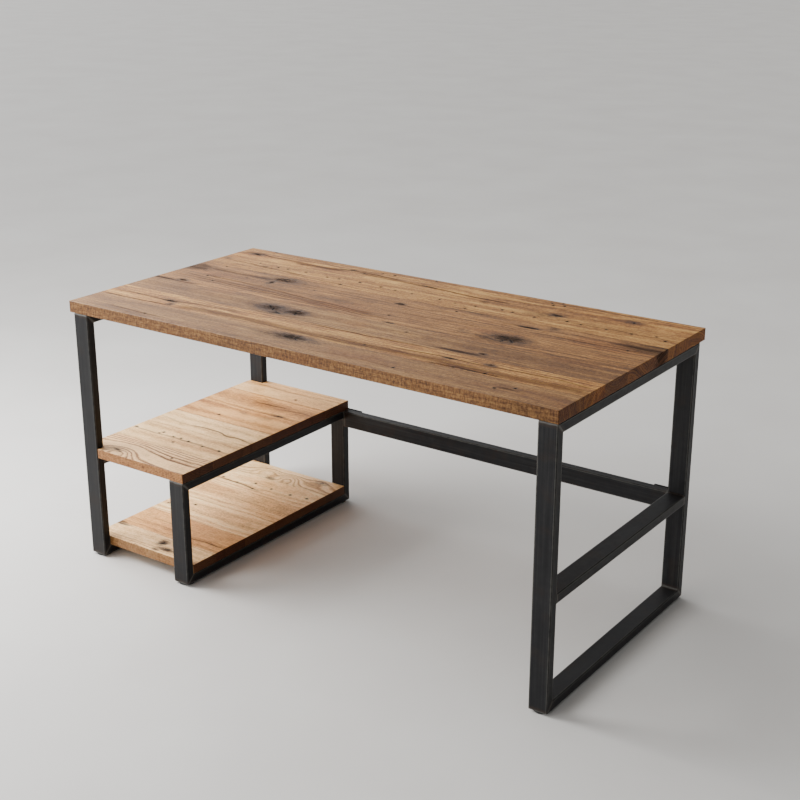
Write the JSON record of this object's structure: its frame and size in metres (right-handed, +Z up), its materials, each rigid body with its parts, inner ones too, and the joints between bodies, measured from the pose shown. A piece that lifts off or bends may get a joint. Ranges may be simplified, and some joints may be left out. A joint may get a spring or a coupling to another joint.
{
  "type": "writing desk",
  "caption": "Fixed-height desk: thick oak plank top on welded rectangular steel frames, with two low oak shelves at the left, a back rail and screw-in levelling feet.",
  "frame": {"origin": "on the floor, under the middle of the top", "axes": "+X along the desk's length towards the open right frame, +Y to the rear, +Z up"},
  "size_m": [1.524, 0.762, 0.755],
  "materials": {
    "oak_top": "reclaimed oak, mid brown, matt oil finish",
    "oak_shelf": "reclaimed oak, lighter, matt oil finish",
    "raw_steel": "dark mill-scale steel, clear satin lacquer, ground bright at the welds",
    "black_zinc": "black zinc plated fasteners",
    "black_nylon": "matt black nylon"
  },
  "bodies": {
    "desk": {"top_board_1": "oak_top", "top_board_2": "oak_top", "top_board_3": "oak_top", "top_board_4": "oak_top", "top_board_5": "oak_top", "top_board_6": "oak_top", "top_board_7": "oak_top", "upper_shelf_board_1": "oak_shelf", "upper_shelf_board_2": "oak_shelf", "upper_shelf_board_3": "oak_shelf", "upper_shelf_board_4": "oak_shelf", "upper_shelf_board_5": "oak_shelf", "upper_shelf_board_6": "oak_shelf", "lower_shelf_board_1": "oak_shelf", "lower_shelf_board_2": "oak_shelf", "lower_shelf_board_3": "oak_shelf", "lower_shelf_board_4": "oak_shelf", "lower_shelf_board_5": "oak_shelf", "lower_shelf_board_6": "oak_shelf", "left_front_leg": "raw_steel", "left_rear_leg": "raw_steel", "left_top_rail": "raw_steel", "left_mid_rail": "raw_steel", "left_bottom_rail": "raw_steel", "right_front_leg": "raw_steel", "right_rear_leg": "raw_steel", "right_top_rail": "raw_steel", "right_mid_rail": "raw_steel", "right_bottom_rail": "raw_steel", "inner_front_leg": "raw_steel", "inner_rear_leg": "raw_steel", "inner_top_rail": "raw_steel", "inner_bottom_rail": "raw_steel", "back_rail": "raw_steel", "left_splice_plate": "raw_steel", "right_splice_plate": "raw_steel", "left_splice_bolt_lower": "black_zinc", "left_splice_bolt_upper": "black_zinc", "right_splice_bolt_lower": "black_zinc", "right_splice_bolt_upper": "black_zinc", "left_top_screw_front": "black_zinc", "left_top_screw_middle": "black_zinc", "left_top_screw_rear": "black_zinc", "right_top_screw_front": "black_zinc", "right_top_screw_middle": "black_zinc", "right_top_screw_rear": "black_zinc", "upper_shelf_left_screw_front": "black_zinc", "upper_shelf_left_screw_rear": "black_zinc", "upper_shelf_right_screw_front": "black_zinc", "upper_shelf_right_screw_rear": "black_zinc", "lower_shelf_left_screw_front": "black_zinc", "lower_shelf_left_screw_rear": "black_zinc", "lower_shelf_right_screw_front": "black_zinc", "lower_shelf_right_screw_rear": "black_zinc"},
    "left_front_foot": {"left_front_foot": "black_nylon"},
    "left_rear_foot": {"left_rear_foot": "black_nylon"},
    "inner_front_foot": {"inner_front_foot": "black_nylon"},
    "inner_rear_foot": {"inner_rear_foot": "black_nylon"},
    "right_front_foot": {"right_front_foot": "black_nylon"},
    "right_rear_foot": {"right_rear_foot": "black_nylon"}
  },
  "joints": [
    {"name": "left_front_foot_travel", "type": "slide", "parent": "desk", "child": "left_front_foot", "axis": [0, 0, -1], "range_m": [0, 0.01]},
    {"name": "left_rear_foot_travel", "type": "slide", "parent": "desk", "child": "left_rear_foot", "axis": [0, 0, -1], "range_m": [0, 0.01]},
    {"name": "inner_front_foot_travel", "type": "slide", "parent": "desk", "child": "inner_front_foot", "axis": [0, 0, -1], "range_m": [0, 0.01]},
    {"name": "inner_rear_foot_travel", "type": "slide", "parent": "desk", "child": "inner_rear_foot", "axis": [0, 0, -1], "range_m": [0, 0.01]},
    {"name": "right_front_foot_travel", "type": "slide", "parent": "desk", "child": "right_front_foot", "axis": [0, 0, -1], "range_m": [0, 0.01]},
    {"name": "right_rear_foot_travel", "type": "slide", "parent": "desk", "child": "right_rear_foot", "axis": [0, 0, -1], "range_m": [0, 0.01]}
  ]
}
